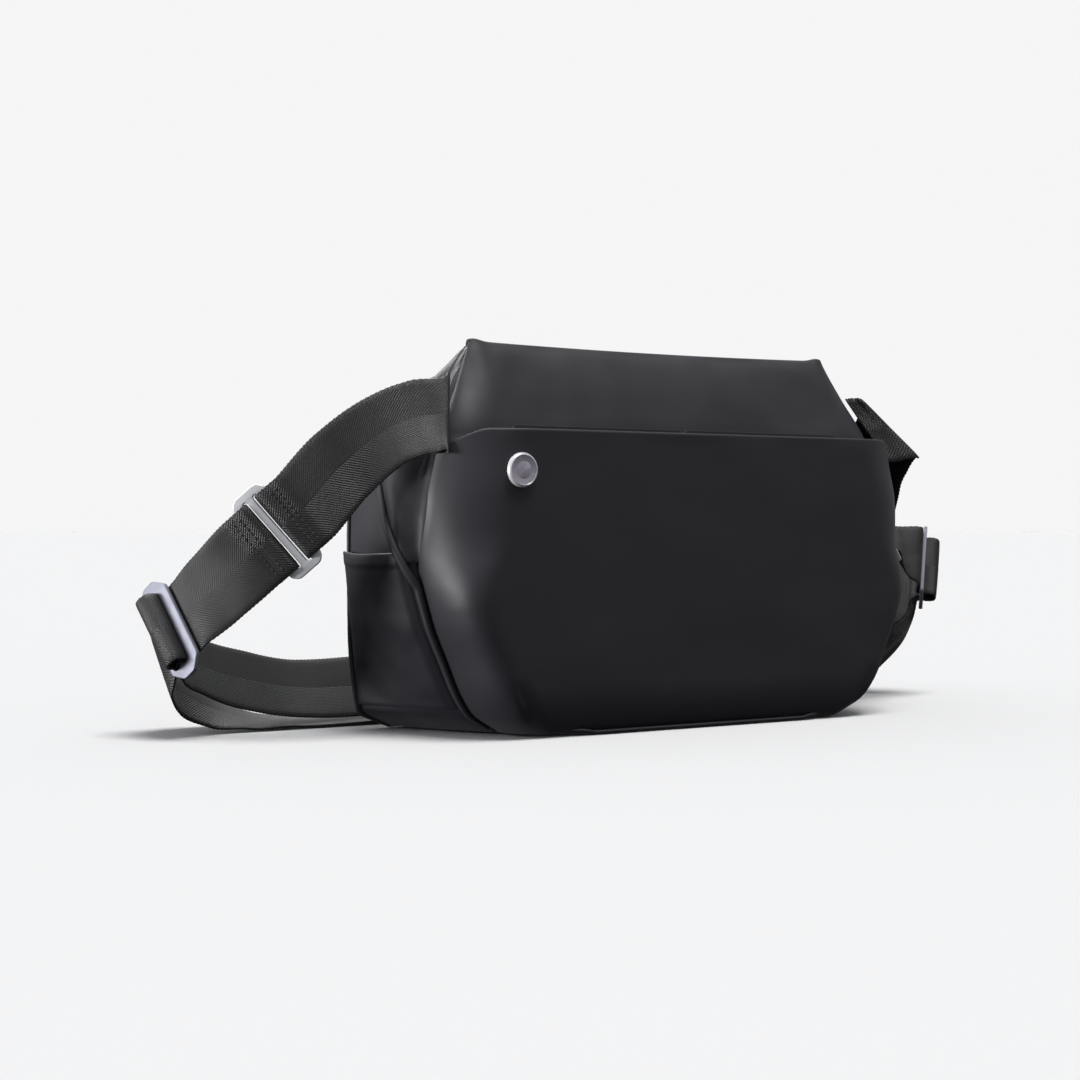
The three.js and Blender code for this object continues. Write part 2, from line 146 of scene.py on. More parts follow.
def span_at(far, at):
    """Which span of `far` holds `at`, and the share of that span before it."""
    k = min(len(far) - 2, max(0, bisect.bisect_right(far, at) - 1))
    return k, (at - far[k]) / max(1e-9, far[k + 1] - far[k])


def even(path, step):
    """path, a list of (point, place), again at even spacing."""
    far = lengths([p for p, _ in path])
    count = max(2, round(far[-1] / step))
    out = []
    for i in range(count + 1):
        at = far[-1] * i / count
        k, t = span_at(far, at)
        out.append((path[k][0].lerp(path[k + 1][0], t), lerp(path[k][1], path[k + 1][1], t), at))
    return out


# ---- materials

class Look:
    """A procedural material. Uniform values go straight onto the shader's own sockets."""

    def __init__(self, name, **fixed):
        self.material = bpy.data.materials.new(name)
        self.material.use_nodes = True
        self.tree = self.material.node_tree
        self.shader = self.tree.nodes["Principled BSDF"]
        for key, value in fixed.items():
            self.shader.inputs[key.replace("_", " ")].default_value = value

    def put(self, socket, value):
        if isinstance(value, bpy.types.NodeSocket):
            self.tree.links.new(value, socket)
        elif value is not None:
            socket.default_value = value

    def add(self, kind, out=0, props=None, **inputs):
        made = self.tree.nodes.new("ShaderNode" + kind)
        for key, value in (props or {}).items():
            setattr(made, key, value)
        for key, value in inputs.items():
            place = int(key[1:]) if key[0] == "i" and key[1:].isdigit() else key.replace("_", " ")
            self.put(made.inputs[place], value)
        return made.outputs[out]

    def math(self, operation, a, b=None):
        return self.add("Math", props={"operation": operation}, i0=a, i1=b)

    def total(self, *values):
        made = values[0]
        for value in values[1:]:
            made = self.math("ADD", made, value)
        return made

    def times(self, a, b):
        return self.math("MULTIPLY", a, b)

    def ripple(self, value, period):
        return self.math("SINE", self.times(value, 2 * math.pi / period))

    def noise(self, where, scale, detail=3.0, distortion=0.0):
        return self.add("TexNoise", Vector=where, Scale=scale, Detail=detail, Distortion=distortion)

    def span(self, value, low, high, out_low, out_high):
        return self.add("MapRange", Value=value, From_Min=low, From_Max=high, To_Min=out_low, To_Max=out_high)

    def spread(self, value, out_low, out_high):
        """span() over the middle of a noise's range."""
        return self.span(value, 0.3, 0.7, out_low, out_high)

    def tint(self, share, dark, light):
        mixed = self.add("Mix", out=2, props={"data_type": "RGBA"}, Factor=share)
        made = mixed.node
        made.inputs[6].default_value = (*dark, 1)
        made.inputs[7].default_value = (*light, 1)
        return mixed

    def wear(self, colour, light, amount):
        """Lets `light` through on worn convex edges."""
        edge = self.add("NewGeometry", out=7)
        share = self.span(edge, 0.51, 0.60, 0.0, amount)
        mixed = self.add("Mix", out=2, props={"data_type": "RGBA"}, Factor=share)
        self.put(mixed.node.inputs[6], colour)
        mixed.node.inputs[7].default_value = (*light, 1)
        return mixed

    def finish(self, colour=None, rough=None, height=None, strength=0.3, depth=0.1):
        if colour is not None:
            self.put(self.shader.inputs["Base Color"], colour)
        if rough is not None:
            self.put(self.shader.inputs["Roughness"], rough)
        if height is not None:
            bump = self.add("Bump", Height=height, Strength=strength, Distance=depth * MM)
            self.put(self.shader.inputs["Normal"], bump)
        return self.material

    def place(self):
        return self.add("TexCoord", out=3)


def coated(name, base, light, low, high):
    """Matte coated fabric: fine grain, faint mottling and a soft sheen."""
    look = Look(name, Specular_IOR_Level=0.5, Sheen_Weight=0.02, Sheen_Roughness=0.5)
    at = look.place()
    mottle = look.noise(at, 26, 4)
    grain = look.noise(at, 2600, 2)
    pebble = look.add("TexVoronoi", Vector=at, Scale=1500.0)
    soft = look.noise(at, 150, 3, 0.4)
    tone = look.tint(look.math("MULTIPLY_ADD", mottle, 0.7), base, light)
    colour = look.wear(tone, [c * 1.5 for c in light], 0.2)
    rough = look.total(look.spread(mottle, low, high), look.spread(grain, -0.03, 0.03))
    height = look.total(look.times(grain, 0.5), look.times(pebble, 0.5), look.times(soft, 1.2))
    return look.finish(colour, rough, height, 0.22, 0.12)


# the webbing's herringbone ribs, warp cords and weft picks, in millimetres
RIB_PITCH, WARP_PITCH, PICK_PITCH = 1.5, 0.95, 0.75


def woven_webbing(name, base, light):
    """Herringbone webbing. U is millimetres across from its middle, V millimetres along it."""
    look = Look(name, Specular_IOR_Level=0.5)
    uv = look.add("UVMap")
    apart = look.add("SeparateXYZ", Vector=uv)
    across = apart
    along = apart.node.outputs[1]
    away = look.math("ABSOLUTE", across)
    wander = look.noise(uv, 0.35, 2)
    slant = look.total(along, away, look.times(wander, 0.7))
    centre = look.span(away, 0.0, 0.7, -1.0, 0.0)
    height = look.total(look.times(look.ripple(slant, RIB_PITCH), 0.62),
                        look.times(look.ripple(across, WARP_PITCH), 0.24),
                        look.times(look.ripple(along, PICK_PITCH), 0.12), look.times(centre, 0.5))
    fuzz = look.noise(uv, 4.0, 3)
    patch = look.noise(uv, 0.12, 3)
    share = look.total(look.span(height, -1.0, 1.0, 0.0, 0.7), look.spread(patch, -0.12, 0.2),
                       look.spread(fuzz, -0.1, 0.1))
    colour = look.tint(share, base, light)
    rough = look.span(height, -1.0, 1.0, 0.62, 0.4)
    return look.finish(colour, rough, height, 0.6, 0.22)


def metal(name, base, low, high, grain, strength, wear, metallic):
    look = Look(name, Metallic=metallic)
    at = look.place()
    blast = look.noise(at, grain, 2)
    smear = look.noise(at, 120, 4, 0.6)
    dull = [c * 0.82 for c in base]
    colour = look.wear(look.tint(smear, dull, base), [min(1.0, c * 1.35) for c in base], wear)
    rough = look.total(look.spread(smear, low, high), look.spread(blast, -0.03, 0.03))
    return look.finish(colour, rough, blast, strength, 0.05)


def plain_weave(name, base, light, pitch, rough=0.8):
    """A fine plain weave on U and V, both in millimetres."""
    look = Look(name, Specular_IOR_Level=0.3)
    uv = look.add("UVMap")
    apart = look.add("SeparateXYZ", Vector=uv)
    height = look.times(look.ripple(apart, pitch), look.ripple(apart.node.outputs[1], pitch))
    patch = look.noise(uv, 0.08, 3)
    share = look.total(look.span(height, -1.0, 1.0, 0.1, 0.7), look.spread(patch, -0.1, 0.2))
    colour = look.tint(share, base, light)
    return look.finish(colour, look.spread(patch, rough - 0.08, rough), height, 0.4, 0.1)


def moulded(name, base, low, high, scale=900.0, strength=0.2):
    look = Look(name, Specular_IOR_Level=0.4)
    at = look.place()
    grain = look.noise(at, scale, 3)
    mottle = look.noise(at, 60, 3)
    colour = look.wear(look.tint(mottle, [c * 0.85 for c in base], [c * 1.15 for c in base]),
                       [c * 1.8 for c in base], 0.3)
    return look.finish(colour, look.spread(mottle, low, high), grain, strength, 0.1)


coat_front = coated("coated_front_fabric", (0.0115, 0.0105, 0.0150), (0.0175, 0.0162, 0.0225), 0.50, 0.58)
# the sides, slip pockets and bellows get a darker copy of the same coated fabric: its darker colour is
# painted shade
coat_side_painted_shade = coated("coated_side_painted_shade", (0.0058, 0.0056, 0.0088), (0.0095, 0.0092, 0.0145), 0.46, 0.54)
webbing = woven_webbing("herringbone_webbing", (0.0022, 0.0022, 0.0026), (0.019, 0.0185, 0.021))
steel = metal("bright_steel", (0.80, 0.81, 0.85), 0.30, 0.40, 2600, 0.05, 0.3, 0.35)
blasted = metal("blasted_slider", (0.21, 0.215, 0.26), 0.50, 0.60, 3200, 0.12, 0.5, 0.45)
button_face = moulded("button_face", (0.37, 0.345, 0.41), 0.34, 0.42, 4200)
# a much darker copy of the herringbone webbing for bands lying behind and under the bag: its darkness is
# painted shade
webbing_painted_shade = woven_webbing("webbing_painted_shade", (0.0010, 0.0010, 0.0012), (0.0065, 0.0063, 0.0072))
thread = plain_weave("sewing_thread", (0.018, 0.018, 0.020), (0.07, 0.07, 0.075), 0.5, 0.6)
sheet_look = moulded("divider_sheet", (0.022, 0.022, 0.026), 0.38, 0.5, 1400)
lining_look = plain_weave("lining_cloth", (0.045, 0.046, 0.054), (0.10, 0.102, 0.118), 0.9)
foam_look = moulded("closed_foam", (0.040, 0.040, 0.045), 0.8, 0.92, 1900, 0.6)
board_look = moulded("stiffener_board", (0.035, 0.035, 0.037), 0.5, 0.62, 700)
tape_look = plain_weave("zip_tape", (0.008, 0.008, 0.009), (0.03, 0.03, 0.033), 0.8)
coil_look = moulded("zip_coil", (0.016, 0.016, 0.018), 0.3, 0.4, 1200)


FRONT = coat_front, "coated_front"
# SIDE carries the darker copy of the coated fabric, whose darkness is painted shade
SIDE = coat_side_painted_shade, "coated_side"
STEEL = steel, "hardware_steel"


# ---- mesh building

def build(name, points, faces, uvs, looks, spots=None):
    """A smooth-shaded object from millimetre points; uvs is one pair per point."""
    mesh = bpy.data.meshes.new(name)
    mesh.from_pydata([p * MM for p in points], [], faces)
    layer = mesh.uv_layers.new(name="UVMap")
    for loop in mesh.loops:
        layer.data[loop.index].uv = uvs[loop.vertex_index]
    for look in looks:
        mesh.materials.append(look)
    mesh.polygons.foreach_set("use_smooth", [True] * len(mesh.polygons))
    if spots:
        mesh.polygons.foreach_set("material_index", spots)
    mesh.validate()
    obj = bpy.data.objects.new(name, mesh)
    bpy.context.scene.collection.objects.link(obj)
    return obj


class Parts:
    """Gathers several closed shapes into one mesh."""

    def __init__(self):
        self.points, self.faces, self.uvs, self.spots = [], [], [], []

    def take(self, points, faces, uvs, spot=0):
        base = len(self.points)
        self.points += points
        self.faces += [[base + i for i in face] for face in faces]
        self.uvs += uvs
        self.spots += [spot] * len(faces)

    def build(self, name, looks, slot):
        return build(name, self.points, self.faces, self.uvs, looks, self.spots)


def grid_normals(rows, sign):
    high, wide = len(rows), len(rows[0])
    normals = []
    for j in range(high):
        line = []
        for i in range(wide):
            du = rows[j][min(wide - 1, i + 1)] - rows[j][max(0, i - 1)]
            dv = rows[min(high - 1, j + 1)][i] - rows[max(0, j - 1)][i]
            n = du.cross(dv)
            line.append(n.normalized() * sign if n.length > 1e-9 else Vector((0, 0, 1)))
        normals.append(line)
    return normals


def sheet_parts(rows, thick, sign):
    """A closed sheet whose outer face is `rows`; its rim is rounded. sign turns the normals outwards."""
    high, wide = len(rows), len(rows[0])
    normals = grid_normals(rows, sign)
    points = []
    for side in (0.0, thick):
        for j in range(high):
            for i in range(wide):
                points.append(rows[j][i] - normals[j][i] * side)
    us = lengths(rows[high // 2])
    vs = lengths([row[wide // 2] for row in rows])
    flat = [(us[i] - us[-1] / 2, vs[j]) for j in range(high) for i in range(wide)]
    uvs = flat + flat
    size = high * wide
    faces = []
    for j in range(high - 1):
        for i in range(wide - 1):
            a = j * wide + i
            quad = [a, a + 1, a + wide + 1, a + wide]
            faces.append(quad if sign > 0 else quad[::-1])
            under = [size + k for k in quad]
            faces.append(under[::-1] if sign > 0 else under)
    loop = [(0, i) for i in range(wide)] + [(j, wide - 1) for j in range(1, high)]
    loop += [(high - 1, i) for i in range(wide - 2, -1, -1)] + [(j, 0) for j in range(high - 2, 0, -1)]
    rims = []
    for k, (j, i) in enumerate(loop):
        jb, ib = loop[k - 1]
        ja, ia = loop[(k + 1) % len(loop)]
        n = normals[j][i]
        run = rows[ja][ia] - rows[jb][ib]
        out = run.cross(n) * sign
        out = out.normalized() if out.length > 1e-9 else n.orthogonal().normalized()
        centre = rows[j][i] - n * (thick / 2)
        ring = []
        for angle in (45, 90, 135):
            a = math.radians(angle)
            ring.append(len(points))
            points.append(centre + (n * math.cos(a) + out * math.sin(a)) * (thick / 2))
            uvs.append(flat[j * wide + i])
        rims.append([j * wide + i] + ring + [size + j * wide + i])
    for a, b in zip(rims, rims[1:] + rims[:1]):
        for k in range(len(a) - 1):
            quad = [a[k], a[k + 1], b[k + 1], b[k]]
            faces.append(quad if sign > 0 else quad[::-1])
    return points, faces, uvs


def soften(rows, amount, size, seed, sign, keep=0.12):
    """Moves a sheet's points in and out a little, less towards its edges, as slack cloth lies."""
    normals = grid_normals(rows, sign)
    high, wide = len(rows), len(rows[0])
    out = []
    for j in range(high):
        line = []
        for i in range(wide):
            p = rows[j][i]
            q = p / size + V(seed * 7.3, seed * 3.1, seed * 1.7)
            move = noise.noise(q) + 0.45 * noise.noise(q * 2.1)
            u, v = i / (wide - 1), j / (high - 1)
            hold = ease(min(u, 1 - u) / keep) * ease(min(v, 1 - v) / keep)
            line.append(p + normals[j][i] * (move * amount * hold))
        out.append(line)
    return out


def add_sheet(name, rows, thick, look, slot, sign, body=None, replaces=()):
    parts = Parts()
    parts.take(*sheet_parts(rows, thick, sign))
    obj = parts.build(name, [look], slot)
    settle(obj, body, replaces)
    return obj


def settle(obj, body, replaces=()):
    if body:
        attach(obj, body)
    if replaces:
        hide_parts(*replaces)


def hoops(count, sides):
    """The faces between `count` rings of `sides` points each."""
    faces = []
    for k in range(count - 1):
        for i in range(sides):
            a, b = k * sides + i, k * sides + (i + 1) % sides
            faces.append([a, b, b + sides, a + sides])
    return faces


def tube_faces(count, sides):
    """The same faces, closed at both ends."""
    return hoops(count, sides) + [list(range(sides))[::-1], [(count - 1) * sides + i for i in range(sides)]]


def tube_parts(path, radius, sides=10):
    """A round bead along `path`, closed at both ends."""
    points, uvs = [], []
    n = len(path)
    far = 0.0
    up = None
    for k, p in enumerate(path):
        run = (path[min(n - 1, k + 1)] - path[max(0, k - 1)]).normalized()
        if k:
            far += (p - path[k - 1]).length
        side = run.orthogonal() if up is None else up - run * up.dot(run)
        side.normalize()
        up = side
        other = run.cross(side)
        r = radius(k / (n - 1)) if callable(radius) else radius
        for i in range(sides):
            a = 2 * math.pi * i / sides
            points.append(p + (side * math.cos(a) + other * math.sin(a)) * r)
            uvs.append((a * r, far))
    return points, tube_faces(n, sides), uvs


def capsule_parts(a, b, normal, wide, tall):
    """One stitch: a small flattened bead from a to b."""
    run = b - a
    side = normal.cross(run).normalized()
    points, uvs = [], []
    for t, size in ((0.0, 0.35), (0.14, 0.85), (0.5, 1.0), (0.86, 0.85), (1.0, 0.35)):
        centre = a.lerp(b, t) + normal * (tall * (0.35 if 0.1 < t < 0.9 else -0.15))
        for i in range(6):
            angle = 2 * math.pi * i / 6
            points.append(centre + side * (math.cos(angle) * wide / 2 * size)
                          + normal * (math.sin(angle) * tall / 2 * size))
            uvs.append((i * 0.2, t * run.length))
    return points, tube_faces(5, 6), uvs


def stitch_line(parts, path, normals, spot, pitch=3.0, length=2.1, wide=0.5, tall=0.4):
    """Stitches along a path of points, each lifted onto the face that its normal looks out of."""
    far = lengths(path)

    def find(at):
        k, t = span_at(far, at)
        return path[k].lerp(path[k + 1], t), normals[k].lerp(normals[k + 1], t).normalized()

    count = int((far[-1] - length) / pitch)
    start = (far[-1] - count * pitch - length) / 2
    for k in range(count + 1):
        a, na = find(start + k * pitch)
        b, _ = find(start + k * pitch + length)
        parts.take(*capsule_parts(a, b, na, wide, tall), spot)


def rounded(corners, radius, parts=5):
    """A closed outline with each corner rounded."""
    out = []
    n = len(corners)
    for k in range(n):
        p = Vector(corners[k])
        a = Vector(corners[k - 1]) - p
        b = Vector(corners[(k + 1) % n]) - p
        half = a.angle(b) / 2
        cut = min(radius / math.tan(half), a.length * 0.48, b.length * 0.48)
        r = cut * math.tan(half)
        centre = p + (a.normalized() + b.normalized()).normalized() * (r / math.sin(half))
        start = p + a.normalized() * cut - centre
        end = p + b.normalized() * cut - centre
        for i in range(parts + 1):
            t = i / parts
            way = start * (1 - t) + end * t
            out.append(tuple(centre + way.normalized() * r))
    return out


def plate(name, outlines, thick, bevel, place, look, slot, body, replaces=(), lift=0.0):
    """A bevelled plate from an outline and its holes, set by the matrix `place` (millimetres)."""
    data = bpy.data.curves.new(name, "CURVE")
    data.dimensions = "2D"
    data.fill_mode = "BOTH"
    data.extrude = thick / 2 - bevel
    data.bevel_depth = bevel
    data.bevel_resolution = 4
    data.offset = -bevel
    for outline in outlines:
        spline = data.splines.new("POLY")
        spline.points.add(len(outline) - 1)
        for point, (x, y) in zip(spline.points, outline):
            point.co = (x, y, 0, 1)
        spline.use_cyclic_u = True
    holder = bpy.data.objects.new(name + "_curve", data)
    bpy.context.scene.collection.objects.link(holder)
    bpy.context.view_layer.update()
    mesh = bpy.data.meshes.new_from_object(holder.evaluated_get(bpy.context.evaluated_depsgraph_get()))
    bpy.data.objects.remove(holder)
    bpy.data.curves.remove(data)
    bm = bmesh.new()
    bm.from_mesh(mesh)
    bmesh.ops.remove_doubles(bm, verts=bm.verts, dist=0.004)
    bmesh.ops.triangulate(bm, faces=[f for f in bm.faces if len(f.verts) > 4])
    bm.to_mesh(mesh)
    bm.free()
    mesh.transform(Matrix.Scale(MM, 4) @ place @ Matrix.Translation((0, 0, lift)))
    mesh.materials.clear()
    mesh.materials.append(look)
    mesh.polygons.foreach_set("use_smooth", [True] * len(mesh.polygons))
    mesh.name = name
    obj = bpy.data.objects.new(name, mesh)
    bpy.context.scene.collection.objects.link(obj)
    mesh.set_sharp_from_angle(angle=math.radians(40))
    settle(obj, body, replaces)
    return obj


# ---- the bag's shape

SEAM_Y, BACK_Y = -10, 50
FRONT_HALF = [(0, 103), (11, 120), (38, 134), (57, 142), (90, 149.5), (140, 138), (147, 136)]
REAR_HALF = [(0, 132), (10, 150), (90, 155), (150, 151), (162, 149.5)]
MOUTH_HALF = FRONT_HALF[:4] + [(90, 149.7), (113, 149.1), (136, 144.6), (147, 143)]
MOUTH_EDGE = [(76, -10.4), (112, -20.5), (147, -22)]
TOP_LINE = [(-10, 150), (0, 191.5), (10, 174), (50, 161.5)]
TOP_HALF = [(-10, 136.4), (0, 114.7), (10, 129.5), (50, 149.2)]
SEAM_LINE = [(3, -10.2), (70, -10.2), (81, -7.6), (103, 4.4), (122, 16.8), (138, 25.5)]


def linear(table, at):
    for (a, va), (b, vb) in zip(table, table[1:]):
        if at <= b:
            return va + (vb - va) * max(0.0, at - a) / (b - a)
    return table[-1][1]


def side_x(y, z):
    """A side panel's half-width at its seams, carried straight from the front seam to the back."""
    return lerp(smooth(FRONT_HALF, z), smooth(REAR_HALF, z), (y - SEAM_Y) / (BACK_Y - SEAM_Y))


def back_turn(y):
    """How far a side panel has turned in where it meets the back."""
    turn = min(1.0, max(0.0, (y - 43.5) / 5.0))
    return 4.2 * (1 - math.sqrt(1 - turn ** 2))


def belly(y, z):
    """How far a side panel swells out between its seams; it turns quickest near the front one."""
    t = min(1.0, max(0.0, (y - SEAM_Y) / 56))
    return 6.6 * math.sin(math.pi * t ** 0.55) * math.sin(math.pi * (0.12 + 0.8 * min(1, z / 150)))


def crowned(u, half, seam, face, run, square=1.0, turn=math.pi / 2):
    """A point of a panel's plan: flat in the middle, and at each end a bend of `turn` down to its seam."""
    size, sign = abs(u), (1 if u > 0 else -1)
    if size <= 1:
        return sign * size * (half - run), face
    a = (size - 1) * turn
    out = math.sin(a) / math.sin(turn)
    back = (math.cos(a) - math.cos(turn)) / (1 - math.cos(turn))
    return sign * (half - run + run * out ** square), seam + (face - seam) * max(0.0, back) ** square


def across_steps(middle=44, corner=16):
    left = steps(-2, -1, corner)
    return left + steps(-1, 1, middle)[1:-1] + [-u for u in left[::-1]]


def dent(p, a, b, depth, wide):
    """How far a crease from a to b, both (x, z), presses in at p."""
    q = Vector((p.x, p.z))
    a, b = Vector(a), Vector(b)
    t = min(1.0, max(0.0, (q - a).dot(b - a) / (b - a).length_squared))
    away = (q - a.lerp(b, t)).length / wide
    return depth * math.exp(-away * away) * math.sin(math.pi * (0.15 + 0.7 * t))


# front pocket: one panel that turns under the base and bends at the mouth's fold
def front_rows():
    heights = [0.0] * 3 + [k * 0.9 for k in range(1, 10)] + steps(9, 140, 62)
    heights += [142, 143.6, 145, 145.9, 146.5]
    under = [15.0, 12.0, 9.6]
    roll = 24.0
    out = []
    for j, z in enumerate(heights):
        line = []
        for u in across_steps():
            if j < 3:
                inset, height = under[j], 0.45
            else:
                inset = 9.0 * (1 - math.sqrt(max(0.0, 1 - (1 - min(roll, z) / roll) ** 2)))
                height = max(0.45, z)
            drop = 7.0 * ease((abs(u) - 1.5) / 0.5) * ease((height - 100) / 46)
            height -= drop
            face = -44.9 + ((height - 75) / 75) ** 2 + inset
            half = smooth(MOUTH_HALF, height) - inset * 0.1
            run = smooth([(0, 20), (30, 20), (64, 20), (100, 34), (147, 38)], height)
            square = smooth([(5, 0.85), (30, 0.72), (60, 0.74), (88, 1.0)], height)
            turn = math.radians(smooth([(62, 90), (98, 46), (147, 40)], height))
            x, y = crowned(u, half, smooth(MOUTH_EDGE, height), face, run, square, turn)
            p = V(x, y, height)
            sag = 0.9 * math.exp(-((height - 40) / 26) ** 2) * math.exp(-((abs(x) - 60) / 50) ** 2)
            p.y -= sag * 0.5
            for s in (-1, 1):
                p.y += dent(p, (s * 104, 10), (s * 113, 25), 1.6, 2.2)
                p.y += dent(p, (s * 96, 2), (s * 108, 12), 1.0, 3.0)
            line.append(p)
        out.append(line)
    return soften(out, 0.55, 46, 1, 1, 0.06)


front = add_sheet("front_pocket_shell", front_rows(), 1.8, *FRONT, 1)
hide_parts("front_pocket_lower", "front_pocket_mouth")
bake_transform(front)


wall = [[V(*crowned(u, smooth(FRONT_HALF, z) - 3.8, -11.2, -22.4, 26), z) for u in across_steps(36, 12)]
        for z in steps(3, 145.2, 40)]
add_sheet("front_wall_shell", soften(wall, 0.5, 50, 2, 1), 1.6, *FRONT, 1, "bag",
          ["front_wall"])

SLOPE_HALF = [(140, 138.5), (146.5, 136.6), (170, 124.4), (186, 116.2), (191.5, 113.6)]
SLOPE_FACE = [(140, -23.4), (146, -22.6), (160, -18.2), (175, -12.0), (186, -6.0), (190, -2.6), (192, -0.6)]


def slope_rows():
    out = []
    heights = steps(141, 186, 30) + [187.2, 188.4, 189.4, 190.3, 190.9, 191.3]
    for z in heights:
        line = []
        for u in across_steps(52, 14):
            rise = (z - 146.5) / 45
            seam = lerp(-11.2, -1.2, ease(rise) * 0.5 + 0.5 * min(1, max(0, rise)))
            x, y = crowned(u, smooth(SLOPE_HALF, z), seam, smooth(SLOPE_FACE, z), 22)
            p = V(x, y, z)
            share = ease((z - 150) / 40)
            p.z -= share * 1.3 * (1 - (x / 116) ** 2)
            p.z += share * 1.2 * math.exp(-((abs(x) - 111) / 5) ** 2)
            swell = math.sin(math.pi * min(1, max(0, (z - 141) / 50)))
            p.y += 1.6 * math.exp(-((abs(x) - 88) / 20) ** 2) * swell
            line.append(p)
        out.append(line)
    out = soften(out, 1.0, 38, 3, 1, 0.08)
    top = out[-1]
    for dy, dz in ((1.0, 0.45), (2.1, 0.3), (2.9, -0.7), (3.3, -2.2)):
        out.append([p + V(0, dy, dz) for p in top])
    return out


add_sheet("top_front_shell", slope_rows(), 1.6, *FRONT, 1, "bag", ["top_front_panel"])

ridge = []
for v in steps(0, 1, 10):
    ridge.append([V(u * (111.4 + v * 12), 2.6 + v * 6.6 + 0.8 * math.sin(math.pi * v),
                    190.2 - v * 14.2 - 1.2 * (1 - u * u) * (1 - v)) for u in steps(-1, 1, 60)])
add_sheet("ridge_back_shell", soften(ridge, 0.5, 30, 4, -1), 1.2, *FRONT, -1, "bag",
          ["ridge_back_panel"])

# stiff divider behind the mouth, with chamfered ends and a small notch in the middle
half_line = [(91, 97), (106.8, 112.5), (106.8, 145.6), (102.2, 149.9), (2.4, 149.9), (1.4, 148.9)]
outline = half_line + [(-x, z) for x, z in half_line[::-1]]
upright = Matrix(((1, 0, 0, 0), (0, 0, 1, -23.5), (0, 1, 0, 0), (0, 0, 0, 1)))
plate("pocket_divider_board", [rounded(outline, 0.8, 3)], 1.2, 0.3, upright, sheet_look, "divider_sheet",
      "bag", ["pocket_divider"])

# ---- sides

def bead(t):
    """The piping's radius: it thickens on its way up, and tapers at both ends."""
    return lerp(1.6, 2.1, ease(t / 0.7)) * min(1, 0.35 + 8 * min(t, 1 - t))


for hand, s in HANDS:
    rows = []
    for z in steps(0.6, 12, 12) + steps(14, 146.4, 60):
        line = []
        for y in [-10, -9.4] + steps(-8, 41, 44) + [42.6, 44, 45.2, 46.3, 47.2, 47.9, 48.4]:
            line.append(V(s * (side_x(y, z) - back_turn(y) + belly(y, z)), y, z))
        rows.append(line)
    add_sheet(f"side_panel_shell_{hand}", soften(rows, 0.9, 30, 5 + s, s), 1.6, *SIDE, s,
              "bag", [f"side_panel_{hand}"])

    rows = []
    for v in steps(0, 1, 26):
        line = []
        for y in steps(-10, -4, 8) + steps(-3.4, 10, 26) + steps(11.5, 45, 24) + [46, 47, 48]:
            top = linear(TOP_LINE, y) - (0.8 if -2 < y < 2 else 0)
            half = linear(TOP_HALF, y)
            x0 = side_x(y, 146)
            z = lerp(146.2, top, v)
            pinch = 1.6 * math.sin(math.pi * v) * math.exp(-((y - 3) / 7) ** 2)
            roll = 2.2 * max(0.0, (v - 0.72) / 0.28) ** 2 - 0.9 * math.sin(math.pi * v)
            line.append(V(s * (lerp(x0, half, v) - pinch - roll), y, z))
        rows.append(line)
    add_sheet(f"side_top_shell_{hand}", soften(rows, 0.8, 22, 8 + s, s, 0.1), 1.5, *SIDE,
              s, "bag", [f"side_top_panel_{hand}"])

    # slip pocket with a folded hem that stands a little proud
    rows = []
    for z in steps(12.5, 80, 40) + [81.4, 82.6, 83.6, 84.6, 85.6, 86.6, 87.4, 88.0]:
        line = []
        for y in steps(-7.5, 42, 44) + [43.4, 44.8, 46, 47, 47.8]:
            upper = ease((z - 60) / 28)
            slack = 1.5 * math.sin(math.pi * min(1, max(0, (y + 9) / 60))) + 1.6 * ease(y / 40)
            lift = 1.1 + upper * slack
            hem = 0.55 * ease((z - 81.6) / 1.4)
            x = side_x(y, z) + belly(y, z) + 0.6 + lift + hem - back_turn(y)
            edge = ease((y + 7.5) / 4)
            dip = math.sin(math.pi * min(1, max(0, (y + 8) / 56)))
            line.append(V(s * (x - (1 - edge) * 1.4), y, z - dip * upper))
        rows.append(line)
    add_sheet(f"side_slip_pocket_{hand}", soften(rows, 0.7, 26, 11 + s, s, 0.05), 1.3, *SIDE,
              s, "bag", [f"side_pocket_{hand}"])

    # bellows: a bulging triangle between the mouth's free edge and the seam
    rows = []
    for z in steps(84, 144, 44):
        rear = smooth(SEAM_LINE, z) - 0.6
        line = []
        for t in steps(0, 1, 24):
            y = lerp(rear, smooth(MOUTH_EDGE, z) + 0.8, t)
            wave = math.sin(math.pi * t / 0.55) if t < 0.55 else -math.sin(math.pi * (t - 0.55) / 0.45)
            bulge = 4.6 * ease((z - 84) / 50) * wave
            x = lerp(side_x(rear, z) + belly(rear, z) + 1.3, smooth(MOUTH_HALF, z) - 0.8, ease(t)) + bulge
            line.append(V(s * x, y, z))
        rows.append(line)
    bellows = add_sheet(f"pocket_bellows_fold_{hand}", soften(rows, 0.5, 16, 14 + s, -s, 0.15), 1.3,
                        *SIDE, -s)
    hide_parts(f"pocket_bellows_{hand}")
    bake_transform(bellows)

    # piped seam from the base up to the anchor
    line = []
    for z in steps(2.2, 138, 90):
        y = smooth(SEAM_LINE, z)
        line.append(V(s * (side_x(y, z) + belly(y, z) + 2.0), y, z))
    parts = Parts()
    parts.take(*tube_parts(line, bead, 14))
    piping = parts.build(f"seam_piping_cord_{hand}", [coat_front], "coated_front")
    settle(piping, "bag", [f"seam_piping_{hand}"])

    # folded fabric tab at the zip's end
    rows = []
    for v in steps(0, 1, 14):
        a = math.pi * v
        rows.append([V(s * (152.6 + 15.8 * u), 46.2 + 3.3 * math.cos(a) * (1 - 0.15 * u),
                       147 + 3.1 * math.sin(a) * (1 - 0.25 * u) - 1.5) for u in steps(0, 1, 16)])
    add_sheet(f"zip_end_tab_fold_{hand}", rows, 1.3, webbing, "webbing", -s, "bag", [f"zip_end_tab_{hand}"])

# ---- back, base and inside

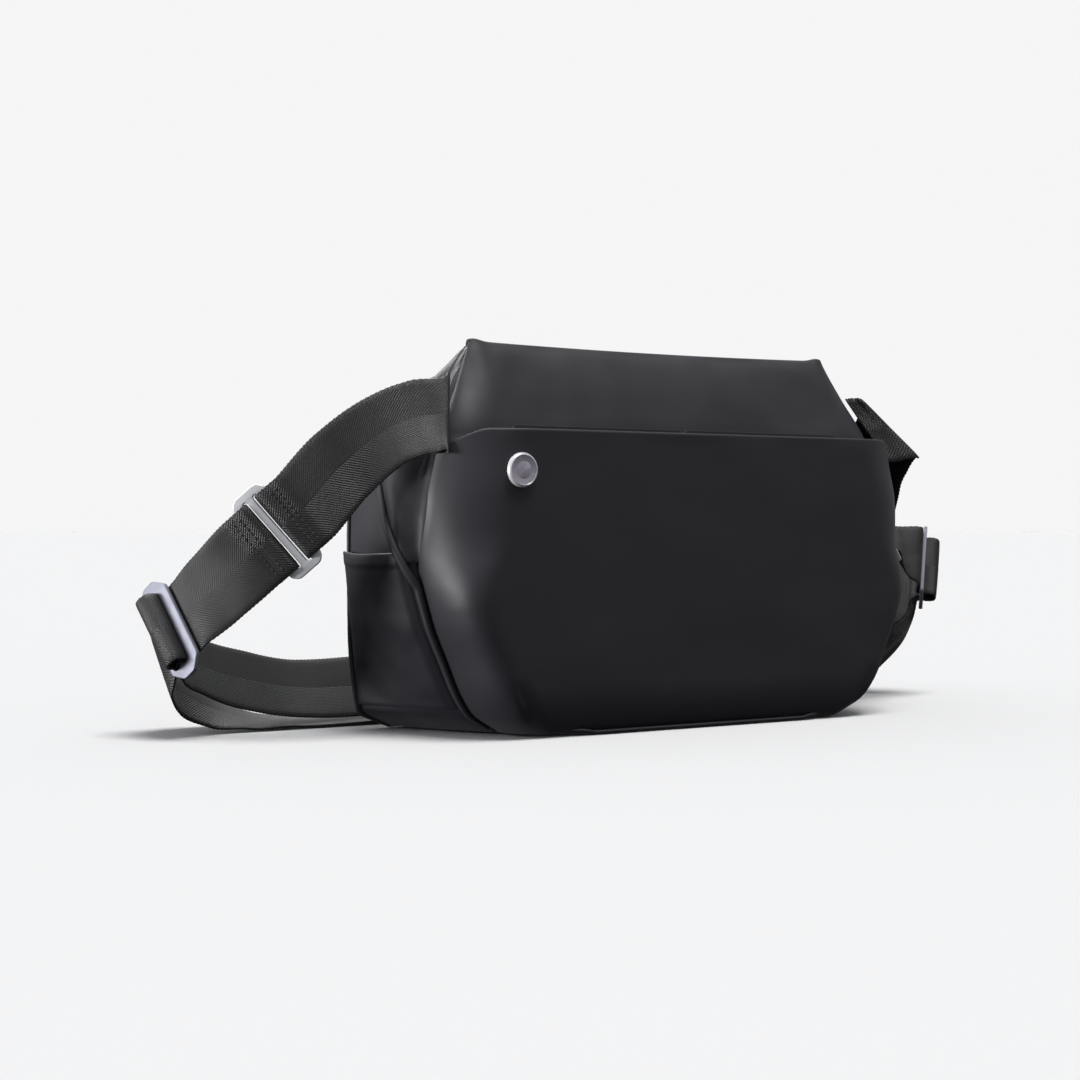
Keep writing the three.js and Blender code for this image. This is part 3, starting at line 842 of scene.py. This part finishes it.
BACK_EDGE = [(0.6, 131), (9, 149), (50, 153.4), (92, 153.8), (148, 150.4), (160.4, 147.6)]
rows = []
for z in steps(0.6, 10, 10) + steps(12, 158, 60) + [159.4, 160.4]:
    line = []
    for u in steps(-1, 1, 90):
        x = u * smooth(BACK_EDGE, z)
        near = min(1 - abs(u), (z - 0.6) / 150, (160.4 - z) / 150)
        puff = 3.0 * ease(near / 0.12) + 0.8 * ease(near / 0.5)
        groove = 1.3 * math.exp(-(((near - 0.105) * 150) / 1.6) ** 2)
        line.append(V(x, 49.6 + puff - groove, z))
    rows.append(line)
back = add_sheet("back_panel_pad", soften(rows, 0.8, 34, 17, -1, 0.1), 2.0, *FRONT, -1,
                 "bag", ["back_panel"])


def flat_rows(edge, heights, across, y):
    """Rows of an upright panel: `edge` is its half-width by height, and y(u) its depth."""
    return [[V(u * smooth(edge, z), y(u), z) for u in steps(-1, 1, across)] for z in heights]


rows = flat_rows([(8, 124), (20, 143.5), (90, 145.5), (150, 141.5)], steps(8.4, 149.6, 30), 40,
                 lambda u: 47.0)
foam = add_sheet("back_foam_pad", soften(rows, 0.35, 20, 18, -1), 3.4, foam_look, "foam", -1, "bag",
                 ["back_foam"])

BASE_EDGE = [(-40.6, 73), (-34, 88.5), (-22, 98), (-10, 101), (20, 117), (47.4, 128)]
rows = []
for y in steps(-40.6, 47.4, 50):
    rows.append([V(u * smooth(BASE_EDGE, y), y, 0.2 + 1.2 * ease((abs(u) - 0.9) / 0.1))
                 for u in steps(-1, 1, 60)])
add_sheet("base_panel_shell", rows, 1.6, *FRONT, -1, "bag", ["base_panel"])

rows = flat_rows([(8, 74), (45, 101.5), (90, 112.5), (143, 103.6)], steps(8.2, 142.8, 36), 50,
                 lambda u: -19.4)
lining = add_sheet("lining_front_sheet", soften(rows, 0.25, 30, 19, 1), 0.6, lining_look, "lining", 1,
                   "bag", ["main_lining_front"])

rows = flat_rows([(10, 92), (40, 117.6), (96, 121.6)], steps(10.2, 95.8, 30), 50,
                 lambda u: 37.1 - 0.6 * math.sin(math.pi * (u + 1) / 2))
add_sheet("inner_slip_pocket_sheet", soften(rows, 0.3, 26, 20, 1), 0.9, lining_look, "lining", 1, "bag",
          ["inner_slip_pocket"])

# ---- lid and zip

# The lid falls by FALL for each millimetre back. Along it, the coils meet at CHAIN from the hinge.
FALL = 0.31
CHAIN, SLIDER_X = 36.75, 118
zip_place = Matrix.Translation((0, 10, 175)) @ Matrix.Rotation(-math.atan(FALL), 4, "X")


def slope_point(x, y, z):
    return zip_place @ V(x, y, z)


rows = []
for y in steps(2.0, 29.3, 24):
    half = linear([(2, 126.2), (29.3, 137.6)], y)
    v = (y - 2) / 27.3
    rise = 1.1 * math.sin(math.pi * v)
    rows.append([slope_point(u * half, y, rise * (1 - u ** 6)) for u in steps(-1, 1, 90)])
rows = soften(rows, 0.5, 24, 21, 1, 0.12)
parts = Parts()
parts.take(*sheet_parts(rows, 1.7, 1))
edge = rows[-2]
stitch_line(parts, edge, [V(0, 0.3, 0.95)] * len(edge), 1)
lid = parts.build("top_lid_shell", [coat_front, thread], "coated_front")
settle(lid, "lid", ["top_lid"])


def tape(name, half, near, far, z, body, node):
    rows = [[slope_point(x, y, z) for x in steps(-half, half, 80)] for y in steps(near, far, 6)]
    return add_sheet(name, rows, 0.7, tape_look, "zip_tape", 1, body, [node])


tape("zip_tape_lid_band", 108, 29.7, 34.1, -0.7, "lid", "zip_tape_lid")
tape("zip_tape_back_band", 127, 39.4, 43, -0.7, "bag", "zip_tape_back")


def coil(name, half, middle, side, body, node):
    """A zip's coil: one flattened spiral of filament on a core cord."""
    pitch, parts = 1.5, Parts()
    path = []
    for k in range(int(2 * half / pitch * 12) + 1):
        a = 2 * math.pi * k / 12
        x = -half + pitch * k / 12
        path.append(slope_point(x, middle + side * 1.02 * math.cos(a), -0.75 + 0.72 * math.sin(a)))
    parts.take(*tube_parts(path, 0.27, 5))
    core = [slope_point(x, middle, -0.75) for x in steps(-half, half, 40)]
    parts.take(*tube_parts(core, 0.42, 6))
    obj = parts.build(name, [coil_look], "zip_coil")
    settle(obj, body, [node])


coil("zip_coil_lid_teeth", 107.6, 35.5, 1, "lid", "zip_coil_lid")
coil("zip_coil_back_teeth", 126.6, 38.0, -1, "bag", "zip_coil_back")

# slider: a boat-shaped top plate with side flanges, its staple, and the pull
slider_at = zip_place @ Matrix.Translation((SLIDER_X, CHAIN, 1.2))
body_outline = [(-6, -2.6), (-2.5, -3.5), (3.6, -3.5), (6, -2.2),
                (6, 2.2), (3.6, 3.5), (-2.5, 3.5), (-6, 2.6)]
plate("zip_slider_body", [rounded(body_outline, 1.0, 4)], 1.2, 0.35, slider_at, *STEEL,
      "zip_runner", ["zip_slider"])
for hand, s in HANDS:
    flange = [(-5, s * 2.7), (5, s * 2.7), (5, s * 3.5), (-5, s * 3.5)]
    if s < 0:
        flange = flange[::-1]
    plate(f"zip_slider_flange_{hand}", [rounded(flange, 0.3, 2)], 1.0, 0.12, slider_at, *STEEL,
          "zip_runner", lift=-0.9)
arch = [slope_point(SLIDER_X + 3.0 * math.cos(a), CHAIN, 1.7 + 3.6 * math.sin(a) ** 0.8)
        for a in steps(0.0, math.pi, 22)]
parts = Parts()
parts.take(*tube_parts(arch, 0.62, 10))
settle(parts.build("zip_slider_arch", [steel], "hardware_steel"), "zip_runner", ["zip_slider_staple"])
pull_outline = [(-0.9, -2.7), (5.4, -2.7), (8, -3.4), (25, -3.4), (26, -2.4), (26, 2.4), (25, 3.4), (8, 3.4),
                (5.4, 2.7), (-0.9, 2.7)]
eye = [(0.9, -1.5), (0.9, 1.5), (5, 1.5), (5, -1.5)]
tip = [(20.2, -1.4), (20.2, 1.4), (23.6, 1.4), (23.6, -1.4)]
plate("zip_pull_tag", [rounded(pull_outline, 0.9, 4), rounded(eye, 0.5, 3), rounded(tip, 1.1, 4)], 1.6, 0.4,
      zip_place @ Matrix.Translation((SLIDER_X, CHAIN, 3.15)), *STEEL, "zip_puller", ["zip_pull"])

# ---- button

def lathe(profile, turns, place, name, looks, body, replaces, spots):
    points, uvs = [], []
    for r, h in profile:
        for i in range(turns):
            a = 2 * math.pi * i / turns
            points.append(place @ V(r * math.cos(a), r * math.sin(a), h))
            uvs.append((r * math.cos(a), r * math.sin(a)))
    marks = [spot for spot in spots for _ in range(turns)]
    obj = build(name, points, hoops(len(profile), turns), uvs, looks, marks)
    obj.data.set_sharp_from_angle(angle=math.radians(35))
    settle(obj, body, replaces)


low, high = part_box("button")
button_at = (low.x + high.x) / 2 / MM, high.y / MM + 0.1, (low.z + high.z) / 2 / MM
button_at = Matrix.Translation(button_at) @ Matrix.Rotation(math.pi / 2, 4, "X")
rim = [(0.01, 0), (6.8, 0), (6.8, 0.5), (8.0, 0.55), (8.25, 0.8), (8.3, 1.5), (8.2, 2.1), (7.95, 2.55),
       (7.55, 2.95), (7.3, 3.08), (7.1, 3.1)]
dish = [(7.0, 2.98), (6.9, 2.92), (4.4, 2.97), (4.2, 2.9), (4.0, 2.97), (0.01, 3.0)]
lathe(rim + dish, 72, button_at, "pocket_button", [steel, button_face], "pocket_mouth",
      ["button"], [0] * len(rim) + [1] * (len(dish) - 1))

# ---- strap

WEB, THICK = 38.0, 1.4
# the ring's two slots and the slider's, low and high edge; every slot is as long as the webbing is wide
RING_SLOTS, SLIDER_SLOTS = [(-4.4, -1.9), (1.9, 4.4)], [(-5.5, -1.1), (1.1, 5.5)]
SLOT_HALF, PLATE_THICK = 19.7, 2.2


def strap_frame(origin, u, w, side):
    run = V(*u).normalized()
    across = V(*w) - run * V(*w).dot(run)
    across.normalize()
    return {"o": V(*origin), "run": run, "across": across, "out": run.cross(across) * side, "side": side}


def local(at, pairs):
    return [(at["o"] + at["run"] * u + at["out"] * n, at["across"]) for u, n in pairs]


def world(pairs):
    return [(V(*p), V(*w)) for p, w in pairs]


def loop_round(bar, radius):
    return [(bar - radius * math.cos(math.radians(d)), radius * math.sin(math.radians(d)))
            for d in range(-90, 91, 30)]


# the webbing's sewn end, its turn round a ring's outer bar, and the way out of the ring
LOOP = [(15, -2.1), (12, -2.2)] + loop_round(6.0, 3.0) + [(12, 2.0), (17, 1.3)]
LOOP_IN = [(-u, n) for u, n in LOOP[::-1]]


def band(parts, stations, seed, step=0.8):
    """Webbing through stations (centre, width direction). Returns its centre line for the stitching."""
    path = even(curve_through([p for p, _ in stations]), step)
    n = len(path)
    across_n = 14
    ring = [(-1 + 2 * i / across_n, 1) for i in range(across_n + 1)] + [(1, 0.5), (1, -0.5)]
    ring += [(1 - 2 * i / across_n, -1) for i in range(across_n + 1)] + [(-1, -0.5), (-1, 0.5)]
    points, uvs, line = [], [], []
    for k, (p, place, far) in enumerate(path):
        run = (path[min(n - 1, k + 1)][0] - path[max(0, k - 1)][0]).normalized()
        i = min(len(stations) - 2, int(place))
        w = stations[i][1].lerp(stations[i + 1][1], ease(place - i) * 0.5 + (place - i) * 0.5)
        w = w.normalized()
        w = w / max(0.86, run.cross(w).length)
        face = run.cross(w).normalized()
        centre = p + face * (0.22 * noise.noise(V(far / 17.0, seed * 5.1, 0.3)))
        line.append((centre, w, face, far, run))
        for side, level in ring:
            edge = abs(side)
            rounding = abs(level) < 1
            reach = WEB / 2 + (0.28 if rounding else 0.0)
            if edge > 0.98:
                reach += 0.16 * math.sin(2 * math.pi * far / 2.4)
            body = THICK / 2 * (1.0 - 0.22 * max(0.0, edge - 0.86) / 0.14)
            wave = 0.35 * noise.noise(V(far / 23.0, side * 0.8 + seed, 4.4)) * edge
            lift = level * body * (0.8 if rounding else 1) + wave
            points.append(centre + w * (side * reach) + face * lift)
            uvs.append((side * WEB / 2, far))
    walls = [[a, d, c, b] for a, b, c, d in hoops(n, len(ring))]
    ends = [face[::-1] for face in tube_faces(n, len(ring))[-2:]]
    parts.take(points, walls + ends, uvs)
    return line


def cross_stitches(parts, line, where, reach=16.8):
    """A row of stitches straight across the webbing, `where` millimetres along it."""
    k = min(range(len(line)), key=lambda i: abs(line[i][3] - where))
    centre, w, face, _, _ = line[k]
    for side in (1, -1):
        path = [centre + w * x + face * (side * THICK / 2) for x in steps(-reach, reach, 16)]
        stitch_line(parts, path, [face * side] * len(path), 1, 2.7, 1.9, 0.62, 0.42)


def bar_stitches(parts, line, search, bar, way):
    """Two rows on each side of the webbing's turn round a bar; `search` is where to look for the turn."""
    turn = min(search, key=lambda at: (at[0] - bar).length)[3]
    for gap in (8.4, 11.8):
        cross_stitches(parts, line, turn + way * gap)
        cross_stitches(parts, line, turn - way * gap)


SIDES = {
    "left": {
        "anchor": [((-136.2, -12.6, 155), (.25, .41, .88)), ((-136.0, -16.6, 155), (.28, .41, .87)),
                   ((-138.2, -20.2, 154.6), (.24, .41, .88)), ((-142.5, -18.8, 154), (.08, .44, .89)),
                   ((-150, -11, 152.5), (-.08, .46, .88)),
                   ((-160, -1, 147), (-.2, .48, .85)), ((-180, 7, 130), (-.42, .38, .82))],
        "ring": ((-211, 13, 98.5), (-.535, .45, -.6), (-.56, .34, .75)),
        "between": [((-231, 37, 72), (-.34, .5, .79))],
        "glide": ((-246, 59, 50.5), (-.32, .72, -.63), (-.135, .617, .774)),
        "tail": [((-244, 72, 35), (0, .64, .77)), ((-235, 79, 23), (.05, .72, .69)),
                 ((-220, 82, 13.5), (.05, .84, .54)), ((-201, 83, 6.8), (.05, .96, .28)),
                 ((-176, 83, 2.6), (0, .99, .07)), ((-120, 83, 1.6), (0, 1, .02)),
                 ((-60, 83, 1.4), (0, 1, 0))],
        "shoulder": [((-232, 69, 37), (-.05, .62, .78)), ((-217, 73, 30), (-.05, .62, .78)),
                     ((-193, 79, 23.5), (0, .64, .77)), ((-160, 86, 18), (0, .7, .71)),
                     ((-100, 93, 17.6), (0, .66, .75))],
    },
    "right": {
        "anchor": [((137.6, -12.4, 153.5), (-.32, .46, .83)), ((142.6, -15.8, 154.2), (-.42, .44, .79)),
                   ((147, -18.4, 154.9), (-.53, .41, .74)), ((149.4, -18.9, 154.5), (-.58, .39, .7)),
                   ((150.9, -16.6, 152.6), (-.58, .39, .7)), ((152.6, -9, 145.6), (-.57, .4, .71)),
                   ((155.2, 0, 136.5), (-.52, .44, .73)), ((165, 13, 121), (-.3, .6, .74))],
        "ring": ((184, 28, 98), (.7, .3, -.62), (.02, .77, .62)),
        "between": [((209, 31, 85), (.22, .55, .8))],
        "glide": ((231, 38, 75), (.585, .637, -.5), (.39, .32, .865)),
        "tail": [((236, 56, 62), (.2, .35, .92)), ((230, 67, 47), (0, .45, .89)),
                 ((219, 76, 30), (0, .7, .71)), ((200, 82, 13), (0, .9, .43)),
                 ((176, 83, 3.4), (0, .99, .1)), ((120, 83, 1.6), (0, 1, .02)),
                 ((60, 83, 1.4), (0, 1, 0))],
        "shoulder": [((224, 57, 63), (0, .3, .95)), ((210, 70, 50), (0, .4, .92)),
                     ((188, 82, 36), (0, .5, .87)), ((150, 92, 24), (0, .6, .8)),
                     ((100, 94, 18.5), (0, .66, .75))],
    },
}
THROUGH = [(-16, -2), (-11.5, -2.4), (-6.4, -2.6), (-4.5, -1.6), (-4.4, .6), (-4.6, 4.2), (-3.6, 7.2),
           (0, 8.4), (3.6, 7.2), (4.6, 4.2), (4.4, .6), (4.5, -1.6), (6.4, -2.6), (9.5, -2.8)]
AROUND = [(9.5, -4.7), (6.2, -4.4), (3.2, -2.7), (2.5, 0), (1.7, 1.8), (0, 2.5), (-1.7, 1.8), (-2.5, 0),
          (-1.8, -1.9), (.2, -3.2), (3.2, -5.2), (6.2, -6.3), (9.5, -6.9)]


def oblong(low, high, half):
    return [(low, -half), (low, half), (high, half), (high, -half)]


def octagon(low, high, half, cut):
    return [(low, -half + cut), (low + cut, -half), (high - cut, -half), (high, -half + cut),
            (high, half - cut), (high - cut, half), (low + cut, half), (low, half - cut)]


shoulder_ends = {}
for hand, s in HANDS:
    strap = SIDES[hand]
    ring_at = strap_frame(*strap["ring"], s)
    glide_at = strap_frame(*strap["glide"], s)

    bar = ring_at["run"] * 5.6

    parts = Parts()
    line = band(parts, world(strap["anchor"]) + local(ring_at, LOOP_IN), s)
    bar_stitches(parts, line, line, ring_at["o"] - bar, -1)
    obj = parts.build(f"strap_upper_band_{hand}", [webbing, thread], "webbing")
    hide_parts(f"strap_anchor_{hand}", f"strap_upper_webbing_{hand}")
    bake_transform(obj)

    lower = local(ring_at, LOOP) + world(strap["between"]) + local(glide_at, THROUGH) + world(strap["tail"])
    parts = Parts()
    line = band(parts, lower, 3 + s)
    bar_stitches(parts, line, line[:len(line) // 2], ring_at["o"] + bar, 1)
    # the right lower band takes the darker webbing copy, whose darkness is painted shade
    cloth = webbing if hand == "left" else webbing_painted_shade
    settle(parts.build(f"strap_lower_band_{hand}", [cloth, thread], "webbing"), "strap",
           [f"strap_lower_webbing_{hand}"])

    for kind, at, outline, slots, bevel, look, slot, corner in (
            ("ring", ring_at, octagon(-9.5, 9.5, 24, 3), RING_SLOTS, 0.8, *STEEL, 4.0),
            ("slider", glide_at, octagon(-11.5, 7.8, 26.5, 6), SLIDER_SLOTS, 0.45, blasted, "slider_metal",
             3.0)):
        place = Matrix((at["run"], at["across"] * at["side"], at["out"])).transposed().to_4x4()
        place.translation = at["o"]
        holes = [rounded(oblong(a, b, SLOT_HALF), 1.6, 5) for a, b in slots]
        plate(f"strap_{kind}_plate_{hand}", [rounded(outline, corner, 6)] + holes, PLATE_THICK, bevel, place,
              look, slot, "strap", [f"strap_{kind}_{hand}"])
    shoulder_ends[hand] = local(glide_at, AROUND) + world(strap["shoulder"])

# the shoulder band, behind and under the bag, takes the darker webbing copy: painted shade
parts = Parts()
band(parts, shoulder_ends["left"] + world([((0, 95, 18.5), (0, .66, .75))]) + shoulder_ends["right"][::-1], 9)
settle(parts.build("strap_shoulder_band", [webbing_painted_shade, thread], "webbing"), "strap",
       ["strap_shoulder_webbing"])

# CAD nodes that keep their own shape get their finish
for name, look in (("base_board", board_look), ("button_washer", steel)):
    mesh = nodes[name].data
    mesh.materials.clear()
    mesh.materials.append(look)

# ---- floor, light and camera

def stage_look(name, colour, glow):
    look = Look(name, Roughness=1.0, Specular_IOR_Level=0.0)
    tone = look.tint(look.noise(look.place(), 0.8, 2), [c * 0.997 for c in colour], colour)
    if glow:
        look.shader.inputs["Base Color"].default_value = (0, 0, 0, 1)
        look.put(look.shader.inputs["Emission Color"], tone)
        look.shader.inputs["Emission Strength"].default_value = 1.0
        return look.material
    return look.finish(tone)


bpy.ops.mesh.primitive_circle_add(vertices=96, radius=24, fill_type="NGON", location=(0, 0, -0.0006))
floor = bpy.context.object
floor.name = "floor"
floor.data.materials.append(stage_look("pale_floor", (0.85, 0.85, 0.85), False))
bpy.ops.mesh.primitive_uv_sphere_add(segments=64, ring_count=32, radius=25)
backdrop = bpy.context.object
backdrop.name = "backdrop"
backdrop.data.materials.append(stage_look("pale_backdrop", (0.92, 0.92, 0.92), True))
for obj in (floor, backdrop):
    obj.visible_diffuse = False
    obj.visible_glossy = False
backdrop.visible_shadow = False
backdrop.visible_transmission = False

scene = bpy.context.scene
scene.view_settings.view_transform = "Standard"
scene.view_settings.look = "None"
studio = bpy.data.worlds.new("studio")
scene.world = studio
studio.use_nodes = True
ambient = studio.node_tree.nodes["Background"]
links = studio.node_tree
from_where = links.nodes.new("ShaderNodeTexCoord")
height = links.nodes.new("ShaderNodeSeparateXYZ")
rise = links.nodes.new("ShaderNodeMapRange")
for socket, value in (("From Min", -0.12), ("From Max", 0.10), ("To Min", 0.07), ("To Max", 0.38)):
    rise.inputs[socket].default_value = value
links.links.new(from_where.outputs["Generated"], height.inputs[0])
links.links.new(height.outputs["Z"], rise.inputs["Value"])
links.links.new(rise.outputs[0], ambient.inputs["Strength"])
ambient.inputs["Color"].default_value = (0.96, 0.97, 1.0, 1)

# the softboxes light the bag alone, so that the floor stays even
off_floor = bpy.data.collections.new("off_floor")
off_floor.objects.link(floor)
off_floor.collection_objects[0].light_linking.link_state = "EXCLUDE"


def lamp(name, kind, energy, at, to, size, tall=None):
    data = bpy.data.lights.new(name, kind)
    data.energy = energy
    if kind == "AREA":
        data.shape = "RECTANGLE"
        data.size, data.size_y = size, tall
    else:
        data.angle = size
    obj = bpy.data.objects.new(name, data)
    obj.location = at
    obj.rotation_euler = (Vector(to) - Vector(at)).to_track_quat("-Z", "Y").to_euler()
    obj.visible_camera = False
    scene.collection.objects.link(obj)
    if kind == "AREA":
        obj.light_linking.receiver_collection = off_floor


lamp("sun_front", "SUN", 2.3, (0.1, -0.55, 1.9), (0, 0, 0), math.radians(28))
lamp("softbox_left", "AREA", 38, (-1.85, 0.40, 0.13), (-0.1, 0, 0.08), 0.7, 0.3)
lamp("softbox_back", "AREA", 22, (-0.2, 0.9, 1.1), (0, 0, 0.17), 1.4, 0.4)

camera = bpy.data.cameras.new("camera")
camera.sensor_width = 36
camera.lens = 67.53
camera.clip_start = 0.01
camera.clip_end = 200
eye_obj = bpy.data.objects.new("camera", camera)
eye_obj.location = (-0.6386, -0.8406, 0.1025)
eye_obj.rotation_euler = (math.radians(90 - 0.48), 0, math.radians(-34))
scene.collection.objects.link(eye_obj)
scene.camera = eye_obj
